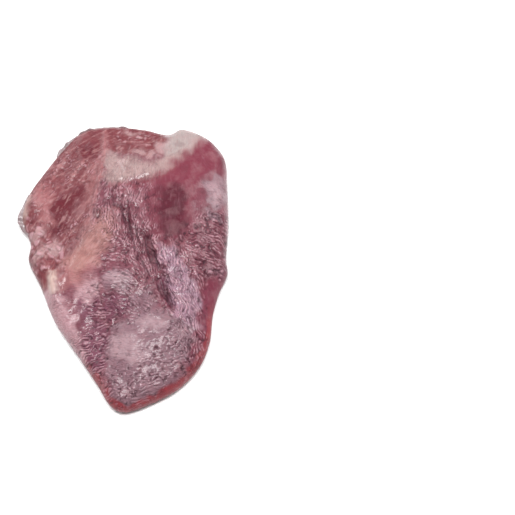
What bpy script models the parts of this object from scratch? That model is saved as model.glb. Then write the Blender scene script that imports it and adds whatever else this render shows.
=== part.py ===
"""Mutton spleen, one raw organ lying flat on its visceral side.

The plan outline is a closed spline. The upper face is a domed skin over that outline, shaped by
named swells, hollows, furrows and ridges, and the margin rolls over to a flat resting face.
The frame has +Z up, +Y towards the dorsal end (the broad base) and its origin at the middle of
the resting face. Sizes are written in millimetres and turned to metres as the mesh is made.
"""

import math
from dataclasses import dataclass

import bmesh
import bpy
import numpy as np

MM = 0.001

# Driving dimensions, in millimetres.
LENGTH = 124.0
WIDTH = 85.0
CROWN_HEIGHT = 13.5
MARGIN_HEIGHT = 8.6

# The margin: where it is widest, how it rolls over above and tucks under below.
WIDEST_LINE_HEIGHT = 3.4
ROLL_RADIUS = 5.2
TUCK_UNDER = 2.6
TUCK_RINGS = 3

# How far in from the margin the dome keeps rising, and how bluntly a furrow ends.
DOME_REACH = 19.0
FURROW_TAPER = 0.7

# The mesh: cells across and along the upper face, and how much they crowd towards the margin.
CELLS_ACROSS = 54
CELLS_ALONG = 78
CROWDING = 0.3

# The margin's samples, and the points of it where the mesh's corners lie: lower right, upper
# right, upper left and lower left.
SAMPLES_PER_SPAN = 24
OUTLINE_STEPS = 720
PATCH_CORNERS = ((23.0, -53.0), (36.0, 54.0), (-28.0, 51.0), (-9.0, -50.5))
LEAST_SQUARED_DISTANCE = 0.05

SPLEEN_RED = (0.27, 0.075, 0.09, 1.0)
WET_ROUGHNESS = 0.32

# Plan outline, clockwise from the left shoulder of the broad end, in shares of half the width
# and half the length.
OUTLINE = (
    (-0.34, 0.99),
    (-0.08, 1.0),
    (0.18, 0.98),
    (0.39, 0.945),
    (0.53, 0.985),
    (0.71, 0.945),
    (0.85, 0.875),
    (0.965, 0.75),
    (0.985, 0.56),
    (1.0, 0.29),
    (0.98, 0.05),
    (0.995, -0.07),
    (0.92, -0.19),
    (0.86, -0.35),
    (0.83, -0.54),
    (0.735, -0.705),
    (0.54, -0.85),
    (0.29, -0.945),
    (0.06, -1.0),
    (-0.08, -0.96),
    (-0.215, -0.815),
    (-0.41, -0.62),
    (-0.52, -0.515),
    (-0.645, -0.38),
    (-0.78, -0.16),
    (-0.91, 0.02),
    (-0.905, 0.15),
    (-1.0, 0.32),
    (-0.945, 0.5),
    (-0.8, 0.67),
    (-0.65, 0.82),
    (-0.505, 0.935),
)


@dataclass(frozen=True)
class Swell:
    """A rounded rise of the skin, or a hollow where its height is negative."""

    at: tuple
    across: float
    along: float
    heading: float
    height: float


@dataclass(frozen=True)
class Furrow:
    """A line pressed into the skin along a path, or a raised ridge where its depth is negative."""

    path: tuple
    half_width: float
    depth: float


SWELLS = {
    "dorsal_shoulder": Swell((23.0, 22.0), 13.0, 20.0, 0.0, 2.0),
    "lower_lobe": Swell((25.5, -17.0), 8.0, 17.0, -10.0, 2.6),
    "ventral_pad": Swell((8.0, -40.0), 15.0, 13.0, 20.0, 1.8),
    "left_pad": Swell((-10.0, -8.0), 8.0, 7.0, 0.0, 1.3),
    "middle_pad": Swell((-1.0, -9.0), 6.0, 5.0, 20.0, 0.8),
    "margin_pad": Swell((37.0, 29.0), 4.5, 10.0, 0.0, 0.9),
    "bare_area": Swell((-25.0, 33.0), 11.0, 17.0, -25.0, -3.2),
    "bare_hollow": Swell((-19.0, 26.5), 4.0, 5.0, -35.0, -1.0),
    "hilar_dip": Swell((-30.0, 9.0), 7.0, 9.0, 0.0, -1.8),
    "broad_end_dip": Swell((6.0, 52.0), 15.0, 6.0, 0.0, -1.9),
    "left_flank_dip": Swell((-9.0, -31.0), 5.0, 14.0, 15.0, -1.7),
    "margin_slope": Swell((39.0, -17.0), 5.0, 14.0, -8.0, -2.6),
}

FURROWS = {
    "upper_groove": Furrow(((-2.0, 27.0), (0.2, 18.6), (2.0, 12.8), (4.5, 4.0)), 2.3, 1.4),
    "side_groove": Furrow(((4.0, 12.0), (6.0, 5.0), (8.0, -2.5)), 2.0, 0.8),
    "middle_groove": Furrow(((8.5, 12.0), (10.0, 4.5), (13.8, -5.4), (16.0, -11.0)), 2.5, 1.5),
    "crease": Furrow(((14.5, -7.0), (16.7, -12.7), (19.2, -18.3), (22.5, -26.0)), 2.6, 2.2),
    "reflection_ridge": Furrow(
        (
            (-9.3, 60.0),
            (-9.0, 46.0),
            (-10.3, 37.8),
            (-12.6, 23.0),
            (-17.2, 7.6),
            (-21.6, -2.0),
            (-26.5, -14.0),
        ),
        1.9,
        -1.4,
    ),
    "fibrous_step": Furrow(
        ((-7.5, 30.0), (-1.9, 32.9), (6.3, 34.2), (16.4, 38.3), (23.5, 45.0)), 1.8, 0.9
    ),
    "fat_strip": Furrow(((-29.0, -4.0), (-27.6, -11.9), (-26.0, -20.0)), 1.7, -1.2),
}

# Small lobules of fat and torn tissue along the hilar edge and the broad end.
LOBULES = {
    "edge_upper": Swell((-35.5, 12.0), 2.4, 2.8, 0.0, 1.7),
    "edge_middle": Swell((-30.5, 6.3), 2.6, 2.2, 30.0, 1.6),
    "edge_lower": Swell((-35.0, 2.3), 2.0, 3.2, -20.0, 1.4),
    "inner_lower": Swell((-31.3, -2.0), 2.2, 2.2, 0.0, 1.1),
    "edge_top": Swell((-36.5, 24.0), 2.6, 4.5, 15.0, 1.3),
    "bare_upper": Swell((-19.0, 44.0), 3.0, 4.5, -30.0, 1.0),
    "broad_left": Swell((1.0, 52.5), 3.4, 2.2, -15.0, 1.2),
    "broad_middle": Swell((8.0, 50.5), 3.2, 2.4, 10.0, 1.3),
    "broad_right": Swell((14.5, 53.0), 2.4, 3.0, -30.0, 1.2),
}


def closed_spline(corners, samples):
    """Points of a closed curve that passes through the corners and turns smoothly at each."""
    before, start = np.roll(corners, 1, axis=0), corners
    end, after = np.roll(corners, -1, axis=0), np.roll(corners, -2, axis=0)
    spans = []
    for t in np.arange(samples) / samples:
        leaving = 2 - 5 * t**2 + 3 * t**3
        arriving = t + 4 * t**2 - 3 * t**3
        curve = leaving * start + arriving * end
        spans.append((curve + (2 * t**2 - t - t**3) * before + (t**3 - t**2) * after) / 2)
    return np.stack(spans, axis=1).reshape(-1, 2)


def plan_outline():
    """The outline in millimetres, at even steps of length, counter-clockwise from the +X side."""
    curve = closed_spline(np.array(OUTLINE)[::-1], SAMPLES_PER_SPAN)
    lowest, highest = curve.min(axis=0), curve.max(axis=0)
    curve = (curve - (lowest + highest) / 2) / (highest - lowest) * (WIDTH, LENGTH)
    right_side = int(np.argmin(np.abs(np.arctan2(curve[:, 1], curve[:, 0]))))
    curve = np.roll(curve, -right_side, axis=0)
    return along_outline(curve, np.arange(OUTLINE_STEPS) / OUTLINE_STEPS)


def along_outline(outline, share):
    """Points at the given shares of the outline's whole length."""
    closed = np.vstack([outline, outline[:1]])
    travelled = np.concatenate([[0.0], np.cumsum(np.linalg.norm(np.diff(closed, axis=0), axis=1))])
    at = (share % 1.0) * travelled[-1]
    return np.stack([np.interp(at, travelled, closed[:, k]) for k in (0, 1)], axis=-1)


def nearest_on_path(points, path):
    """Distance from each point to a chain of segments, and its share of the way along the chain."""
    lengths = np.linalg.norm(np.diff(path, axis=0), axis=1)
    travelled = np.concatenate([[0.0], np.cumsum(lengths)])
    nearest = np.full(len(points), np.inf)
    along = np.zeros(len(points))
    for index, (start, end) in enumerate(zip(path[:-1], path[1:])):
        run = end - start
        share = np.clip((points - start) @ run / (run @ run), 0.0, 1.0)
        away = np.linalg.norm(points - start - share[:, None] * run, axis=1)
        closer = away < nearest
        nearest = np.where(closer, away, nearest)
        along = np.where(closer, travelled[index] + share * lengths[index], along)
    return nearest, along / travelled[-1]


def soft_inset(points, outline):
    """Distance in from the margin, blended smoothly where two stretches of margin are as near.

    Every bit of the margin counts by the inverse fourth power of its distance. Beside a straight
    margin the result is the plain distance.
    """
    steps = np.linalg.norm(outline - np.roll(outline, 1, axis=0), axis=1)
    pull = np.zeros(len(points))
    for corner, step in zip(outline, steps):
        pull += step / (np.sum((points - corner) ** 2, axis=1) + LEAST_SQUARED_DISTANCE) ** 2
    return (pull / (math.pi / 2)) ** (-1 / 3)


def swell_height(points, swell):
    """Height that one swell adds at each point: a turned Gaussian hump."""
    turn = math.radians(swell.heading)
    away = points - np.array(swell.at)
    sideways = away[:, 0] * math.cos(turn) + away[:, 1] * math.sin(turn)
    lengthways = away[:, 1] * math.cos(turn) - away[:, 0] * math.sin(turn)
    reach = (sideways / swell.across) ** 2 + (lengthways / swell.along) ** 2
    return swell.height * np.exp(-0.5 * reach)


def furrow_height(points, furrow):
    """Height that one furrow takes away at each point, deepest midway and running out at its ends."""
    away, share = nearest_on_path(points, np.array(furrow.path))
    taper = np.sin(math.pi * share) ** FURROW_TAPER
    return -furrow.depth * taper * np.exp(-((away / furrow.half_width) ** 2))


def skin_height(points, outline):
    """Height of the upper face over each plan point, in millimetres."""
    depth_in = soft_inset(points, outline)
    fullness = 1 - np.exp(-((depth_in / DOME_REACH) ** 2))
    dome = MARGIN_HEIGHT + (CROWN_HEIGHT - MARGIN_HEIGHT) * fullness
    for swell in [*SWELLS.values(), *LOBULES.values()]:
        dome = dome + swell_height(points, swell)
    for furrow in FURROWS.values():
        dome = dome + furrow_height(points, furrow)
    inset, _ = nearest_on_path(points, np.vstack([outline, outline[:1]]))
    roll = np.sqrt(1 - (1 - np.clip(inset / ROLL_RADIUS, 0.0, 1.0)) ** 2)
    return WIDEST_LINE_HEIGHT + (dome - WIDEST_LINE_HEIGHT) * roll


def outline_stretches(outline):
    """The right, upper, left and lower stretches of the outline, each as its start and end share."""
    nearest = [np.argmin(np.linalg.norm(outline - np.array(corner), axis=1)) for corner in PATCH_CORNERS]
    lower_right, upper_right, upper_left, lower_left = [step / len(outline) for step in nearest]
    right = (lower_right - 1.0, upper_right)
    return right, (upper_right, upper_left), (upper_left, lower_left), (lower_left, lower_right)


def spread_over_outline(grid, outline):
    """Maps grid points from -1 to 1 each way onto the plan, the grid's border onto the outline.

    Each point is blended from the four stretches of margin that it lies between.
    """
    crowded = (1 - CROWDING) * grid + CROWDING * np.sin(grid * math.pi / 2)
    across, along = ((crowded + 1) / 2).T
    right, upper, left, lower = outline_stretches(outline)
    on_right = along_outline(outline, right[0] + (right[1] - right[0]) * along)
    on_left = along_outline(outline, left[1] + (left[0] - left[1]) * along)
    on_upper = along_outline(outline, upper[1] + (upper[0] - upper[1]) * across)
    on_lower = along_outline(outline, lower[0] + (lower[1] - lower[0]) * across)
    lower_left, lower_right = along_outline(outline, np.array(lower))
    upper_right, upper_left = along_outline(outline, np.array(upper))
    u, v = across[:, None], along[:, None]
    sides = (1 - u) * on_left + u * on_right + (1 - v) * on_lower + v * on_upper
    lower_corners = (1 - u) * lower_left + u * lower_right
    upper_corners = (1 - u) * upper_left + u * upper_right
    return sides - (1 - v) * lower_corners - v * upper_corners


def tuck_under(mesh, outline_edges):
    """Rolls the margin down and inwards in rings, and closes the flat resting face."""
    edges = outline_edges
    for ring in range(1, TUCK_RINGS + 1):
        turn = math.pi / 2 * ring / TUCK_RINGS
        before = math.pi / 2 * (ring - 1) / TUCK_RINGS
        made = bmesh.ops.extrude_edge_only(mesh, edges=edges)["geom"]
        edges = [item for item in made if isinstance(item, bmesh.types.BMEdge)]
        for vertex in {v for edge in edges for v in edge.verts}:
            step = TUCK_UNDER * (math.cos(before) - math.cos(turn)) * MM
            inwards = vertex.co.xy.normalized() * step
            vertex.co.x -= inwards.x
            vertex.co.y -= inwards.y
            vertex.co.z = WIDEST_LINE_HEIGHT * (1 - math.sin(turn)) * MM
    bmesh.ops.contextual_create(mesh, geom=edges)


def spleen_mesh():
    """The whole organ as one closed mesh."""
    mesh = bmesh.new()
    bmesh.ops.create_grid(mesh, x_segments=CELLS_ACROSS, y_segments=CELLS_ALONG, size=1.0)
    outline = plan_outline()
    grid = np.array([vertex.co.xy for vertex in mesh.verts])
    plan = spread_over_outline(grid, outline)
    heights = skin_height(plan, outline)
    for vertex, place, height in zip(mesh.verts, plan, heights):
        vertex.co = (place[0] * MM, place[1] * MM, height * MM)
    tuck_under(mesh, [edge for edge in mesh.edges if edge.is_boundary])
    bmesh.ops.recalc_face_normals(mesh, faces=mesh.faces)
    data = bpy.data.meshes.new("spleen")
    mesh.to_mesh(data)
    mesh.free()
    data.shade_smooth()
    return data


def wet_capsule_material():
    """The wet purple-red capsule over the pulp."""
    material = bpy.data.materials.new("wet_capsule")
    material.use_nodes = True
    shader = material.node_tree.nodes["Principled BSDF"]
    shader.inputs["Base Color"].default_value = SPLEEN_RED
    shader.inputs["Roughness"].default_value = WET_ROUGHNESS
    shader.inputs["Metallic"].default_value = 0.0
    return material


def build():
    """Clears the scene and makes the spleen in its own collection."""
    for item in list(bpy.data.objects):
        bpy.data.objects.remove(item)
    collection = bpy.data.collections.new("mutton_spleen")
    bpy.context.scene.collection.children.link(collection)
    spleen = bpy.data.objects.new("spleen", spleen_mesh())
    spleen.data.materials.append(wet_capsule_material())
    collection.objects.link(spleen)


build()
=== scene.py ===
"""Looks of a mutton spleen: its wrinkled wet capsule, fat scraps and thin membrane, lit and framed.

The organ lies flat on its visceral side. +Z is up and +Y runs towards the broad dorsal end. Sizes
are in millimetres in the classes below and turned to metres as each mesh is made.
"""

import logging
import math
from collections.abc import Iterable
from dataclasses import dataclass, field
from enum import Enum

import bpy
import numpy as np
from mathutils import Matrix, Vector


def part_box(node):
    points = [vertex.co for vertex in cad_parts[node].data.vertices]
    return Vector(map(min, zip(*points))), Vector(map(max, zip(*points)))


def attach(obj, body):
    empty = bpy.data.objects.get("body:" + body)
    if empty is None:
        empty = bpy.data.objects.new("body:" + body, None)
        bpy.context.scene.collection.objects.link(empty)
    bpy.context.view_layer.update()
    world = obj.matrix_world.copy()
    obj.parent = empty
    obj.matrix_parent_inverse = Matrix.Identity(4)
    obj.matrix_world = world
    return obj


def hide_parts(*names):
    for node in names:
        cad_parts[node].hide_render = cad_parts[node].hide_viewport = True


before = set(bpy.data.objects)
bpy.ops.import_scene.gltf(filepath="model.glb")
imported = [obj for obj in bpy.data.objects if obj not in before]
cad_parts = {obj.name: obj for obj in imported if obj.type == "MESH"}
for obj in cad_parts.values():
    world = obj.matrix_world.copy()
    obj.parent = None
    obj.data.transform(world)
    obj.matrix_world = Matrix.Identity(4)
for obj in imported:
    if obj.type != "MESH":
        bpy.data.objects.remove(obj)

MM = 0.001
ORGAN_NODE = "spleen"
BODY = "root"
FLOW = "wrinkle_flow"

# Short names for the types that most signatures below use.
Array = np.ndarray
Socket = bpy.types.NodeSocket
Tree = bpy.types.NodeTree
Thing = bpy.types.Object

log = logging.getLogger("spleen")


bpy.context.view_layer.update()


def hex_to_linear(code: str) -> tuple[float, float, float, float]:
    """Turns an sRGB colour into the linear colour that a shader socket takes.

    Args:
        code: six hex digits with a leading hash, such as "#8a4450".

    Returns:
        Linear red, green and blue, and an alpha of one.
    """
    shares = [int(code[start:start + 2], 16) / 255 for start in (1, 3, 5)]
    red, green, blue = [s / 12.92 if s <= 0.04045 else ((s + 0.055) / 1.055) ** 2.4 for s in shares]
    return red, green, blue, 1.0


def wire(node: bpy.types.Node, settings: dict, links: dict) -> None:
    """Sets a shader node's values and feeds its inputs.

    Args:
        node: the node.
        settings: values by name; a name with a capital first letter, or a number, is an input
            socket, and any other is the node's own property.
        links: output sockets by the name or number of the input that each one feeds.
    """
    for name, value in settings.items():
        if isinstance(name, int) or name[0].isupper():
            node.inputs[name].default_value = value
        else:
            setattr(node, name, value)
    for name, output in links.items():
        node.id_data.links.new(output, node.inputs[name])


def add_node(tree: Tree, kind: str, settings: dict, links: dict, out: int | str = 0) -> Socket:
    """Adds one shader node.

    Args:
        tree: the material's node tree.
        kind: the node's type name after ShaderNode.
        settings: its values, as wire takes them.
        links: what feeds its inputs, as wire takes them.
        out: the name or number of the output that is wanted.

    Returns:
        That output of the new node.
    """
    node = tree.nodes.new("ShaderNode" + kind)
    wire(node, settings, links)
    return node.outputs[out]


def new_finish(name: str) -> tuple[bpy.types.Material, bpy.types.Node]:
    """A new material and its Principled shader."""
    material = bpy.data.materials.new(name)
    material.use_nodes = True
    return material, material.node_tree.nodes["Principled BSDF"]


def placed(name: str, data: bpy.types.ID) -> Thing:
    """A new object of the scene that holds a mesh, a light or a camera."""
    thing = bpy.data.objects.new(name, data)
    bpy.context.scene.collection.objects.link(thing)
    return thing


def hung(name: str, data: bpy.types.ID, at: Vector, look: Vector) -> Thing:
    """Hangs a light or a camera in the scene.

    Args:
        name: the new object's name.
        data: the light or camera.
        at: its place in millimetres.
        look: the direction that it faces.

    Returns:
        The new object.
    """
    holder = placed(name, data)
    holder.location = at * MM
    holder.rotation_mode = "QUATERNION"
    holder.rotation_quaternion = look.to_track_quat("-Z", "Y")
    return holder


def grid_quads(grid: Array) -> Array:
    """The four corners of each cell of a grid of point numbers."""
    quads = np.stack([grid[:-1, :-1], grid[:-1, 1:], grid[1:, 1:], grid[1:, :-1]], axis=-1)
    return quads.reshape(-1, 4)


def grid_rim(grid: Array) -> Array:
    """The point numbers round the border of a grid, counter-clockwise from its first."""
    return np.concatenate([grid[0, :-1], grid[:-1, -1], grid[-1, :0:-1], grid[:0:-1, 0]])


def smooth_step(values: Array, start: float, end: float) -> Array:
    """Rises smoothly from 0 at start to 1 at end."""
    share = np.clip((values - start) / (end - start), 0.0, 1.0)
    return share * share * (3 - 2 * share)


def nearest_on_path(points: Array, path: Array) -> tuple[Array, Array]:
    """Measures points against a chain of straight segments.

    Args:
        points: plan points, one a row.
        path: the chain's corners, one a row.

    Returns:
        Each point's distance from the chain, and its share of the way along it.
    """
    lengths = np.linalg.norm(np.diff(path, axis=0), axis=1)
    travelled = np.concatenate([[0.0], np.cumsum(lengths)])
    nearest = np.full(len(points), np.inf)
    along = np.zeros(len(points))
    for index, (start, end) in enumerate(zip(path[:-1], path[1:])):
        run = end - start
        share = np.clip((points - start) @ run / (run @ run), 0.0, 1.0)
        away = np.linalg.norm(points - start - share[:, None] * run, axis=1)
        closer = away < nearest
        nearest = np.where(closer, away, nearest)
        along = np.where(closer, travelled[index] + share * lengths[index], along)
    return nearest, along / travelled[-1]


def is_inside(points: Array, corners: Array) -> Array:
    """Tells which plan points lie inside a closed outline.

    Args:
        points: plan points, one a row.
        corners: the outline's corners in order, one a row.

    Returns:
        True for each point inside.
    """
    inside = np.zeros(len(points), bool)
    for (ax, ay), (bx, by) in zip(corners, np.roll(corners, -1, axis=0)):
        spans = (ay > points[:, 1]) != (by > points[:, 1])
        rise = by - ay if by != ay else 1e-9
        crossing = ax + (points[:, 1] - ay) * (bx - ax) / rise
        inside ^= spans & (points[:, 0] < crossing)
    return inside


@dataclass
class TissueNoise:
    """Seeded random relief on a flat sheet that is larger than the organ."""

    columns: int = 800
    rows: int = 1024
    pitch: float = 0.16
    warp_band: float = 0.4
    whites: dict = field(default_factory=dict)

    def white(self, seed: int) -> Array:
        """The transform of one sheet of white noise, drawn once for each seed."""
        if seed not in self.whites:
            draw = np.random.default_rng(seed).standard_normal((self.rows, self.columns))
            self.whites[seed] = np.fft.fft2(draw)
        return self.whites[seed]

    def waves(self, wavelength: float, band: float) -> tuple[Array, Array]:
        """Sorts the sheet's waves by length and direction.

        Args:
            wavelength: the wanted length, crest to crest, in millimetres.
            band: how far from it the kept waves may be, as a share of it.

        Returns:
            How much of each wave is kept, and each one's direction of travel in radians.
        """
        across = np.fft.fftfreq(self.columns, self.pitch)[None, :]
        along = np.fft.fftfreq(self.rows, self.pitch)[:, None]
        lengths = np.maximum(np.hypot(across, along) * wavelength, 1e-6)
        return np.exp(-0.5 * (np.log(lengths) / band) ** 2), np.arctan2(along, across)

    def banded(self, seed: int, wavelength: float, band: float) -> Array:
        """Keeps the waves of white noise that are near one length.

        Args:
            seed: which sheet of white noise to start from.
            wavelength: crest to crest, in millimetres.
            band: how far from the wavelength they may be, as a share of it.

        Returns:
            A sheet of heights with a spread of one.
        """
        keep, _ = self.waves(wavelength, band)
        sheet = np.fft.ifft2(self.white(seed) * keep).real
        return sheet / sheet.std()

    def rolling(self, seed: int, wavelength: float, heading: float, fan: float,
                band: float) -> Array:
        """Waves of one length and direction, with their quarter-turned twin as the imaginary part.

        Args:
            seed: which sheet of white noise to start from.
            wavelength: crest to crest, in millimetres.
            heading: the direction that the crests run in, in radians.
            fan: how far from that direction they may run, in radians.
            band: how far from the wavelength they may be, as a share of it.

        Returns:
            A sheet of complex heights whose real part has a spread of one.
        """
        keep, travel = self.waves(wavelength, band)
        off = travel - heading - math.pi / 2
        off = np.arctan2(np.sin(off), np.cos(off))
        sheet = np.fft.ifft2(self.white(seed) * keep * np.exp(-0.5 * (off / fan) ** 2))
        return sheet / sheet.real.std()

    def sample(self, sheet: Array, points: Array) -> Array:
        """Reads a sheet at plan points, blended from its four nearest values.

        Args:
            sheet: heights from banded or rolling.
            points: plan points in millimetres, one a row.

        Returns:
            One height for each point.
        """
        column = points[:, 0] / self.pitch + self.columns / 2
        row = points[:, 1] / self.pitch + self.rows / 2
        left, low = np.floor(column).astype(int), np.floor(row).astype(int)
        u, v = column - left, row - low
        left, right = left % self.columns, (left + 1) % self.columns
        low, high = low % self.rows, (low + 1) % self.rows
        lower = sheet[low, left] * (1 - u) + sheet[low, right] * u
        upper = sheet[high, left] * (1 - u) + sheet[high, right] * u
        return lower * (1 - v) + upper * v

    def heights_at(self, points: Array, seed: int, wavelength: float, band: float) -> Array:
        """Heights at plan points of a banded sheet, whose seed, wavelength and band are given."""
        return self.sample(self.banded(seed, wavelength, band), points)

    def warped(self, points: Array, seed: int, wavelength: float, reach: float) -> Array:
        """Plan points moved about by smooth random amounts, so that drawn edges look grown.

        Args:
            points: plan points in millimetres, one a row.
            seed: which noise moves them; the next seed moves them the other way.
            wavelength: how far apart the moves repeat, in millimetres.
            reach: the usual move, in millimetres.

        Returns:
            The moved points.
        """
        moves = [self.heights_at(points, seed + k, wavelength, self.warp_band) for k in (0, 1)]
        return points + reach * np.stack(moves, axis=1)


@dataclass
class Margin:
    """The organ's outline seen from above, as a closed curve through chosen corners."""

    width: float
    length: float
    corners: tuple = (
        (-0.34, 0.99), (-0.08, 1), (0.18, 0.98), (0.39, 0.945), (0.53, 0.985), (0.71, 0.945),
        (0.85, 0.875), (0.965, 0.75), (0.985, 0.56), (1, 0.29), (0.98, 0.05), (0.995, -0.07),
        (0.92, -0.19), (0.86, -0.35), (0.83, -0.54), (0.735, -0.705), (0.54, -0.85),
        (0.29, -0.945), (0.06, -1), (-0.08, -0.96), (-0.215, -0.815), (-0.41, -0.62),
        (-0.52, -0.515), (-0.645, -0.38), (-0.78, -0.16), (-0.91, 0.02), (-0.905, 0.15),
        (-1, 0.32), (-0.945, 0.5), (-0.8, 0.67), (-0.65, 0.82), (-0.505, 0.935),
    )
    samples_per_span: int = 24
    steps: int = 720
    least_squared_distance: float = 0.05

    def __post_init__(self) -> None:
        """Works out the outline's points and the directions straight out of it."""
        curve = self.spline(np.array(self.corners)[::-1])
        lowest, highest = curve.min(axis=0), curve.max(axis=0)
        curve = (curve - (lowest + highest) / 2) / (highest - lowest) * (self.width, self.length)
        right_side = int(np.argmin(np.abs(np.arctan2(curve[:, 1], curve[:, 0]))))
        self.outline = np.roll(curve, -right_side, axis=0)
        self.outline = self.at(np.arange(self.steps) / self.steps)
        ahead = np.roll(self.outline, -2, axis=0) - np.roll(self.outline, 2, axis=0)
        out = np.stack([ahead[:, 1], -ahead[:, 0]], axis=1)
        self.outward = out / np.linalg.norm(out, axis=1, keepdims=True)

    def spline(self, corners: Array) -> Array:
        """Points of a closed curve that passes through the corners and turns smoothly at each."""
        before, start = np.roll(corners, 1, axis=0), corners
        end, after = np.roll(corners, -1, axis=0), np.roll(corners, -2, axis=0)
        spans = []
        for t in np.arange(self.samples_per_span) / self.samples_per_span:
            leaving = 2 - 5 * t**2 + 3 * t**3
            arriving = t + 4 * t**2 - 3 * t**3
            curve = leaving * start + arriving * end
            spans.append((curve + (2 * t**2 - t - t**3) * before + (t**3 - t**2) * after) / 2)
        return np.stack(spans, axis=1).reshape(-1, 2)

    def at(self, share: Array) -> Array:
        """Points at the given shares of the outline's whole length."""
        closed = np.vstack([self.outline, self.outline[:1]])
        steps = np.linalg.norm(np.diff(closed, axis=0), axis=1)
        travelled = np.concatenate([[0.0], np.cumsum(steps)])
        at = (np.asarray(share) % 1.0) * travelled[-1]
        return np.stack([np.interp(at, travelled, closed[:, k]) for k in (0, 1)], axis=-1)

    def outward_at(self, share: Array) -> Array:
        """Directions straight out of the outline at the given shares of its length."""
        closed = np.vstack([self.outward, self.outward[:1]])
        at = (np.asarray(share) % 1.0) * self.steps
        places = np.arange(self.steps + 1)
        out = np.stack([np.interp(at, places, closed[:, k]) for k in (0, 1)], axis=-1)
        return out / np.linalg.norm(out, axis=-1, keepdims=True)

    def share_near(self, point: tuple[float, float]) -> float:
        """The share of the outline's length at which it comes nearest a plan point."""
        return int(np.argmin(np.linalg.norm(self.outline - np.array(point), axis=1))) / self.steps

    def inset(self, points: Array) -> tuple[Array, Array]:
        """How far in from the outline each point is, and the share of the outline nearest it."""
        return nearest_on_path(points, np.vstack([self.outline, self.outline[:1]]))

    def soft_inset(self, points: Array) -> Array:
        """Distance in from the outline, blended where two stretches of it are as near.

        Args:
            points: plan points, one a row.

        Returns:
            One distance for each point; beside a straight stretch it is the plain distance.
        """
        steps = np.linalg.norm(self.outline - np.roll(self.outline, 1, axis=0), axis=1)
        pull = np.zeros(len(points))
        for corner, step in zip(self.outline, steps):
            squared = np.sum((points - corner) ** 2, axis=1) + self.least_squared_distance
            pull += step / squared**2
        return (pull / (math.pi / 2)) ** (-1 / 3)


@dataclass(frozen=True)
class Swell:
    """A rounded rise of the skin, or a hollow where its height is negative."""

    at: tuple[float, float]
    across: float
    along: float
    heading: float
    height: float

    def heights(self, points: Array) -> Array:
        """Height that the swell adds at each plan point."""
        turn = math.radians(self.heading)
        away = points - np.array(self.at)
        sideways = away[:, 0] * math.cos(turn) + away[:, 1] * math.sin(turn)
        lengthways = away[:, 1] * math.cos(turn) - away[:, 0] * math.sin(turn)
        reach = (sideways / self.across) ** 2 + (lengthways / self.along) ** 2
        return self.height * np.exp(-0.5 * reach)


@dataclass(frozen=True)
class Furrow:
    """A line pressed into the skin along a path, or a raised ridge where its depth is negative."""

    path: tuple
    half_width: float
    depth: float
    taper: float = 0.7

    def shape(self, points: Array) -> Array:
        """Share of the furrow's depth at each plan point, running out at its two ends."""
        away, share = nearest_on_path(points, np.array(self.path))
        return np.sin(math.pi * share) ** self.taper * np.exp(-((away / self.half_width) ** 2))

    def heights(self, points: Array) -> Array:
        """Height that the furrow takes away at each plan point."""
        return -self.depth * self.shape(points)


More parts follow.
